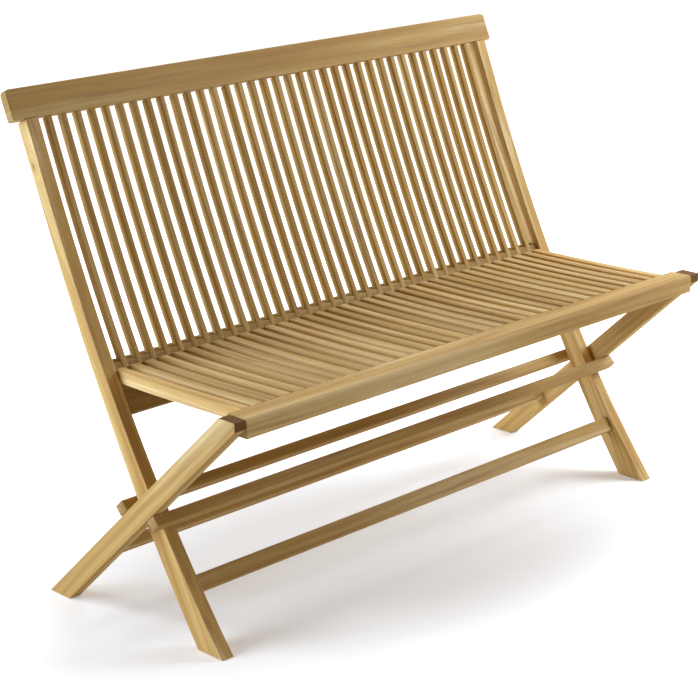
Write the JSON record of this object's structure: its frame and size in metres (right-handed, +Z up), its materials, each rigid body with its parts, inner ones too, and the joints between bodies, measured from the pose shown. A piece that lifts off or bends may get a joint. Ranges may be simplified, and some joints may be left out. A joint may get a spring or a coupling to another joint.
{
  "type": "folding bench",
  "caption": "Folding garden bench of solid teak: curved stiles and straight rear legs cross and turn on pins, with a hinged slatted seat, a slatted back and a wide leaning top rail.",
  "frame": {"origin": "on the floor under the middle of the open bench's length and depth", "axes": "+X along the bench to the sitter's left hand, which is the picture's right end; +Y from the front edge to the back; +Z up"},
  "size_m": [1.2098, 0.5808, 0.8854],
  "materials": {
    "frame_teak": "bare sanded teak, fine long grain, satin",
    "slat_teak": "bare sanded teak, fine long grain, satin",
    "seat_teak": "bare sanded teak, fine long grain, satin",
    "pin_steel": "plain turned steel"
  },
  "bodies": {
    "back_frame": {"top_rail": "frame_teak", "lower_back_rail": "frame_teak", "back_slats_01": "slat_teak", "back_slats_02": "slat_teak", "back_slats_03": "slat_teak", "back_slats_04": "slat_teak", "back_slats_05": "slat_teak", "back_slats_06": "slat_teak", "back_slats_07": "slat_teak", "back_slats_08": "slat_teak", "back_slats_09": "slat_teak", "back_slats_10": "slat_teak", "back_slats_11": "slat_teak", "back_slats_12": "slat_teak", "back_slats_13": "slat_teak", "back_slats_14": "slat_teak", "back_slats_15": "slat_teak", "back_slats_16": "slat_teak", "back_slats_17": "slat_teak", "stile_left": "frame_teak", "stile_right": "frame_teak", "front_stretcher": "frame_teak", "cross_pin_left": "pin_steel", "cross_pin_right": "pin_steel", "cross_washer_left": "pin_steel", "cross_washer_right": "pin_steel"},
    "leg_frame": {"rear_leg_left": "frame_teak", "rear_leg_right": "frame_teak", "stop_bar_front": "frame_teak", "stop_bar_rear": "frame_teak", "leg_stretcher": "frame_teak", "seat_pin_left": "pin_steel", "seat_pin_right": "pin_steel"},
    "seat": {"seat_front_rail": "seat_teak", "seat_side_rail_left": "seat_teak", "seat_side_rail_right": "seat_teak", "seat_slats_01": "seat_teak", "seat_slats_02": "seat_teak", "seat_slats_03": "seat_teak", "seat_slats_04": "seat_teak", "seat_slats_05": "seat_teak", "seat_slats_06": "seat_teak", "seat_slats_07": "seat_teak", "seat_slats_08": "seat_teak", "seat_slats_09": "seat_teak", "seat_slats_10": "seat_teak", "seat_slats_11": "seat_teak", "seat_slats_12": "seat_teak", "seat_slats_13": "seat_teak", "seat_slats_14": "seat_teak", "seat_slats_15": "seat_teak", "seat_slats_16": "seat_teak", "seat_slats_17": "seat_teak", "seat_rear_batten": "seat_teak"}
  },
  "joints": [
    {"name": "leg_fold", "type": "hinge", "parent": "back_frame", "child": "leg_frame", "pos_m": [0, -0.04066, 0.21323], "axis": [-1, 0, 0], "range_deg": [0, 64]},
    {"name": "seat_fold", "type": "hinge", "parent": "leg_frame", "child": "seat", "pos_m": [0, -0.2669, 0.425], "axis": [1, 0, 0], "range_deg": [0, 124]}
  ],
  "couplings": [
    {"joint": "seat_fold", "follows": "leg_fold", "ratio": 1.93}
  ]
}
